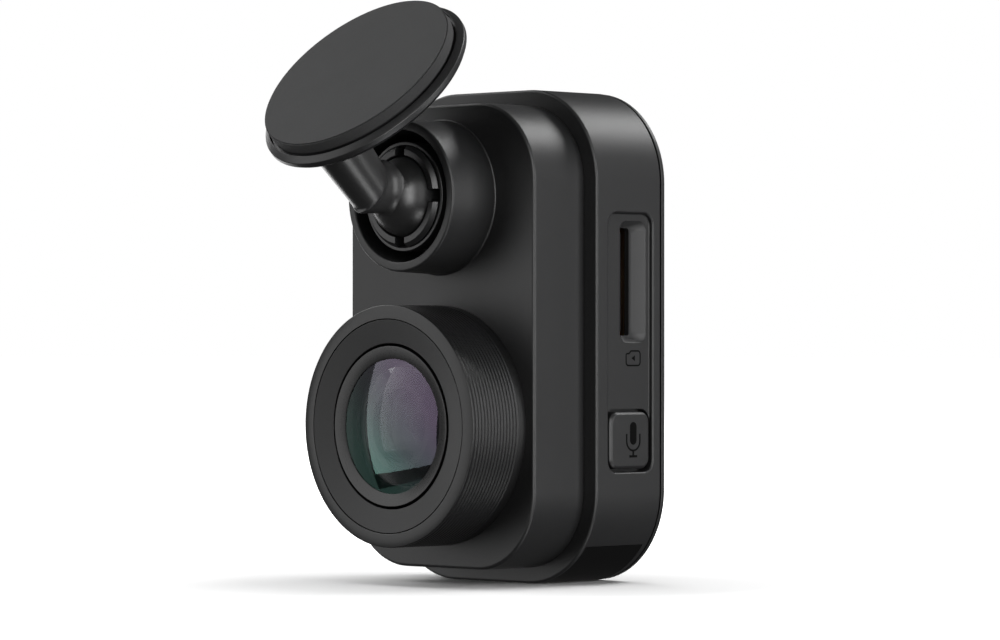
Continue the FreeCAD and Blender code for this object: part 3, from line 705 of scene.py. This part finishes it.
def mount_arm():
    """The tapered stem, its elbow and the short neck, blended into one skin that seats on the ball."""
    elbow = Vector((0, -23.16, 41.95))
    stem_path = fillet([(0, 3.0, 0), (3.3, 3.0, 0), (3.05, 3.4, 0.3), (2.85, 4.0, 0.5),
                        (2.3, 14.5, 0), (0, 14.5, 0)], False)
    stem = moved(lathe("mount_arm", stem_path, 0, closed=False, steps=96),
                 disc_place() @ Matrix.Translation((0, 0, ARM_OFFSET)))
    tilt = Matrix.Translation(elbow) @ Matrix.Rotation((DISC_TILT - pi / 2) / 2, 4, "X")
    behind_mitre = moved(block("behind_mitre", (-6, 0.3, -9), (6, 12, 9)), tilt)
    in_front = moved(block("in_front", (-6, -12, -9), (6, -0.1, 9)), tilt)
    y = BALL_CENTRE.y
    neck_path = [(0, y - 9.0), (2.2, y - 9.0), (2.15, y - 4.6), (2.3, y - 4.0), (2.6, y - 3.6),
                 (2.65, y - 2.0), (0, y - 2.0)]
    neck = lathe("neck", neck_path, 0, closed=False, steps=96)
    moved(neck, Matrix.Translation((0, 0, elbow.z)) @ Matrix.Diagonal((1, 1, 1.3, 1)))
    joined(cut(stem, behind_mitre), cut(neck, in_front))
    relax(stem, 0.08, 45)
    seat_path = []
    for step in range(49):
        angle = pi * step / 48
        reach = BALL_RADIUS + 0.01
        seat_path.append((reach * sin(angle), y - reach * cos(angle)))
    seat = lathe("seat", seat_path, BALL_CENTRE.z, closed=False, steps=128)
    under = block("under", (-6, -40, 25), (6, -10, BALL_CENTRE.z - 1.95))
    cut(stem, under, seat, socket_room())
    return finish(stem, "mount_head", arm_gloss, ["mount_arm"], sharp=45)


def socket_room():
    """The room the socket's mouth sweeps round the ball as the arm tilts, kept free of the neck."""
    inner = BALL_RADIUS - 0.1
    outer = BALL_RADIUS + 1.5
    path = []
    for reach, degrees in ((outer, range(42, 91, 6)), (inner, range(90, 41, -6))):
        for angle in degrees:
            path.append((reach * sin(radians(angle)), BALL_CENTRE.y - reach * cos(radians(angle))))
    return lathe("socket_room", path, BALL_CENTRE.z, steps=128)


def relax(piece, voxel, iterations):
    """Rebuilds a piece on a fine grid and melts its inner corners."""
    remesh = piece.modifiers.new("remesh", "REMESH")
    remesh.mode = "VOXEL"
    remesh.voxel_size = voxel
    smooth = piece.modifiers.new("smooth", "SMOOTH")
    smooth.factor = 0.7
    smooth.iterations = iterations
    return evaluated(piece)


# The button and the pictograms

def thick_line(name, points, width, x0, x1, closed=False):
    """A flat line of even width drawn on the side, through (y, z) points."""
    count = len(points)
    left = []
    right = []
    for index, point in enumerate(points):
        before = points[index - 1] if closed or index else None
        after = points[(index + 1) % count] if closed or index + 1 < count else None
        ways = []
        if before is not None:
            ways.append((Vector(point) - Vector(before)).normalized())
        if after is not None:
            ways.append((Vector(after) - Vector(point)).normalized())
        along = sum(ways, Vector((0, 0))).normalized()
        across = Vector((-along.y, along.x)) * width / 2
        reach = 1 / max(0.5, along.dot(ways[0]))
        left.append(Vector(point) + across * reach)
        right.append(Vector(point) - across * reach)
    mesh = bmesh.new()
    rows = []
    for line, x in ((left, x0), (right, x0), (right, x1), (left, x1)):
        rows.append([mesh.verts.new((x, u, v)) for u, v in line])
    last = count if closed else count - 1
    for row, other in zip(rows, rows[1:] + rows[:1]):
        for index in range(last):
            after = (index + 1) % count
            mesh.faces.new((row[index], row[after], other[after], other[index]))
    if not closed:
        mesh.faces.new([row[0] for row in rows])
        mesh.faces.new([row[-1] for row in rows])
    return object_from(name, mesh)


def arc(centre, radius, start, end, steps=16):
    points = []
    for step in range(steps + 1):
        angle = radians(start + (end - start) * step / steps)
        points.append(Vector((centre[0] + radius * cos(angle), centre[1] + radius * sin(angle))))
    return points


def mic_marks(x0, x1):
    """A generic microphone pictogram: capsule, cradle, stem and foot."""
    y = 0.73
    capsule = arc((y, 16.75), 0.5, 0, 180) + arc((y, 15.35), 0.5, 180, 360)
    cradle = [Vector((y - 1.02, 16.0))] + arc((y, 15.25), 1.02, 180, 360) + [Vector((y + 1.02, 16.0))]
    marks = solid_from_rings("mic_marks", [side_ring(capsule, x0), side_ring(capsule, x1)])
    lines = [
        thick_line("cradle", cradle, 0.2, x0, x1),
        thick_line("stem", [(y, 14.3), (y, 13.6)], 0.24, x0, x1),
        thick_line("foot", [(y - 0.6, 13.62), (y + 0.6, 13.62)], 0.24, x0, x1),
    ]
    joined(marks, *lines)
    return finish(marks, "record_button", icon_ink)


def mic_button():
    side = SIDE - 0.05
    gap = 0.34
    low = POCKET_LOW + Vector((gap, gap))
    high = Vector((POCKET_HIGH.x, BUTTON_TOP)) - Vector((gap, gap))
    centre = (low + high) / 2
    path = fillet([(-2.0, side, 0), (-0.28, side, 0.25), (0, side - 0.26, 0.2), (0, side - 1.55, 0)],
                  False)
    rings = []
    for growth, x in path:
        outline = rounded_outline(high.x - low.x + 2 * growth, high.y - low.y + 2 * growth,
                                  max(1.15 + growth, 0.15), centre, 12)
        rings.append(side_ring(outline, x))
    cap = solid_from_rings("mic_button", rings)
    flange = block("flange", (button_low.x, button_low.y, button_low.z),
                   (side - 1.5, button_high.y, button_high.z))
    joined(cap, flange)
    return finish(cap, "record_button", case_plastic, ["mic_button"])


def card_icon():
    """A printed memory card with an arrow, under the slot."""
    x0 = SIDE - POCKET_DEPTH - 0.01
    x1 = SIDE - POCKET_DEPTH + 0.015
    y0, y1, z0, z1 = 0.15, 2.33, 23.23, 24.78
    outline = fillet([(y0, z0, 0.35), (y1, z0, 0.35), (y1, z1, 0.35), (y0 + 0.75, z1, 0.2),
                      (y0 + 0.45, z1 - 0.28, 0.1), (y0, z1 - 0.28, 0.2)], steps=4)
    frame_line = thick_line("card_icon", outline, 0.16, x0, x1, closed=True)
    middle = (z0 + z1) / 2
    arrow = [Vector((1.0, middle)), Vector((1.5, middle - 0.3)), Vector((1.5, middle + 0.3))]
    point = solid_from_rings("arrow", [side_ring(arrow, x0), side_ring(arrow, x1)])
    joined(frame_line, point)
    return finish(frame_line, "camera_body", icon_ink)


# What shows inside, and the finish of the CAD pieces that stay

CAD_FINISHES = {
    "lens_barrel": hood_plastic, "aperture_stop": spacer_plastic,
    "rear_spacer": spacer_plastic, "lens_holder": hood_plastic, "ir_filter": inner_glass,
    "image_sensor": chip_plastic, "sensor_board": board_mask, "flex_connectors": ivory,
    "flex_cable": amber_film, "socket_retainer": steel, "switch_plunger": white_plastic,
    "tact_switch": chip_plastic, "card_socket": steel, "memory_card": card_plastic,
    "usb_shell": steel, "usb_tongue": chip_plastic, "main_board": board_mask,
    "processor": chip_plastic, "memory_chip": chip_plastic, "power_chip": chip_plastic,
    "shield_can": steel, "thermal_pad": pad_rubber, "heat_spreader": copper, "battery": foil,
    "battery_tape": white_plastic, "microphone": steel, "case_screws": steel,
}


def finish_cad_pieces():
    for node, material in CAD_FINISHES.items():
        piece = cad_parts[node]
        piece.data.materials.clear()
        piece.data.materials.append(material)


nose()
main_housing()
back_cover()
bottom_label()
lens_bezel()
hood = lens_hood()
lens_retainer()
front_spacer()
glass = [
    lens_element("front_lens", 7.55, LENS_FRONT - 0.15, 1.1, LENS_FRONT + 1.5, 1.65, front_glass),
    lens_element("second_lens", 6.15, -17.9, 1.78, -15.1, -0.3, inner_glass),
    lens_element("third_lens", 4.15, -13.9, 1.89, -11.3, -0.4, inner_glass),
    lens_element("rear_lens", 4.15, -10.3, 0.4, -8.6, -0.5, inner_glass),
]
socket_collet()
tension_ring()
ball()
mount_disc()
adhesive_pad()
release_liner()
mount_arm()
mic_button()
mic_marks(SIDE - 0.09, SIDE - 0.035)
card_icon()
finish_cad_pieces()


# Floor, light and camera

def floor():
    """A white floor that glows away from the object, so that it meets the backdrop."""
    mesh = bmesh.new()
    corners = [mesh.verts.new((x, y, 0)) for x, y in ((-6, -6), (6, -6), (6, 6), (-6, 6))]
    mesh.faces.new(corners)
    piece = object_from("floor", mesh)
    recipe = Recipe("floor_white")
    recipe.set(Roughness=0.9, Specular_IOR_Level=0.1)
    tone = recipe.blend(recipe.noise(40.0), (0.86, 0.86, 0.86), (0.88, 0.88, 0.88))
    recipe.link(tone, recipe.shader.inputs["Base Color"])
    recipe.shader.inputs["Emission Color"].default_value = (1, 1, 1, 1)
    away = recipe.node("ShaderNodeVectorMath")
    away.operation = "LENGTH"
    recipe.link(recipe.place, away.inputs[0])
    glow = recipe.between(away.outputs["Value"], FLOOR_GLOW_NEAR, FLOOR_GLOW_FAR, 0.03, 0.12)
    recipe.link(glow, recipe.shader.inputs["Emission Strength"])
    piece.data.materials.append(recipe.material)
    piece.visible_diffuse = False
    piece.visible_glossy = False
    piece.visible_transmission = False
    piece.visible_shadow = False
    return piece


def softbox(name, azimuth, elevation, distance, width, height, power):
    """A rectangular light that looks at the object; azimuth 0 is in front of the lens."""
    centre = Vector((0, -0.005, 0.028))
    turn = radians(azimuth)
    lift = radians(elevation)
    away = Vector((sin(turn) * cos(lift), -cos(turn) * cos(lift), sin(lift)))
    data = bpy.data.lights.new(name, "AREA")
    data.shape = "RECTANGLE"
    data.size = width
    data.size_y = height
    data.energy = power
    light = bpy.data.objects.new(name, data)
    light.location = centre + away * distance
    light.rotation_euler = away.to_track_quat("Z", "Y").to_euler()
    bpy.context.scene.collection.objects.link(light)
    return light


def surroundings():
    """A white backdrop for the camera and a dim even room for everything else."""
    world = bpy.data.worlds.new("studio")
    world.use_nodes = True
    tree = world.node_tree
    room = tree.nodes["Background"]
    room.inputs["Color"].default_value = (1, 1, 1, 1)
    room.inputs["Strength"].default_value = 0.055
    backdrop = tree.nodes.new("ShaderNodeBackground")
    backdrop.inputs["Color"].default_value = (1, 1, 1, 1)
    backdrop.inputs["Strength"].default_value = 1.0
    path = tree.nodes.new("ShaderNodeLightPath")
    mix = tree.nodes.new("ShaderNodeMixShader")
    tree.links.new(path.outputs["Is Camera Ray"], mix.inputs[0])
    tree.links.new(room.outputs[0], mix.inputs[1])
    tree.links.new(backdrop.outputs[0], mix.inputs[2])
    tree.links.new(mix.outputs[0], tree.nodes["World Output"].inputs["Surface"])
    bpy.context.scene.world = world


def camera():
    azimuth = radians(44.706)
    elevation = radians(-0.327)
    roll = radians(0.033)
    target = Vector((1.406, -5.0, 28.081)) * MM
    distance = 463.44
    back = Vector((sin(azimuth) * cos(elevation), -cos(azimuth) * cos(elevation), sin(elevation)))
    data = bpy.data.cameras.new("camera")
    data.sensor_width = 36.0
    data.lens = 155.5
    data.clip_start = 0.01
    seen = bpy.data.objects.new("camera", data)
    turn = back.to_track_quat("Z", "Y").to_matrix().to_4x4() @ Matrix.Rotation(roll, 4, "Z")
    seen.matrix_world = Matrix.Translation(target + back * distance * MM) @ turn
    bpy.context.scene.collection.objects.link(seen)
    bpy.context.scene.camera = seen


def shine_only_on(light, pieces):
    """Links a light to some pieces, so that it lights nothing else."""
    lit = bpy.data.collections.new(light.name + "_lit")
    for piece in pieces:
        lit.objects.link(piece)
    light.light_linking.receiver_collection = lit


ground = floor()

# Each light's azimuth and elevation in degrees, distance, width and height in metres, and power
softbox("key", -37, 12, 0.9, 0.74, 1.0, 3.9)
shine_only_on(softbox("lens_left", -79, -8, 0.9, 0.64, 1.2, 0.7), glass)
shine_only_on(softbox("lens_low", -40, -33, 0.9, 0.9, 0.36, 0.3), glass)
softbox("left_far", -112, 4, 0.9, 0.45, 1.0, 3.4)
softbox("left_high", -75, 42, 0.9, 0.4, 0.4, 1.8)
softbox("side", 106, 6, 1.0, 0.55, 0.8, 6.0)
softbox("right_strip", 75, 10, 0.9, 0.18, 0.9, 1.2)
softbox("back", 168, 42, 0.9, 0.4, 0.3, 3.6)
shine_only_on(softbox("hood_left", -82, 2, 0.9, 0.3, 0.5, 1.1), [hood])
edge_lights = [softbox("near_strip", 43, 8, 0.9, 0.3, 0.9, 7.0),
               softbox("low", 84, -50, 0.9, 0.3, 0.3, 1.6)]
for light in edge_lights:
    light.visible_diffuse = False
shine_only_on(softbox("overhead", 0, 90, 0.8, 1.2, 1.2, 7.5), [ground])
surroundings()
camera()
bpy.context.scene.view_settings.view_transform = "Standard"
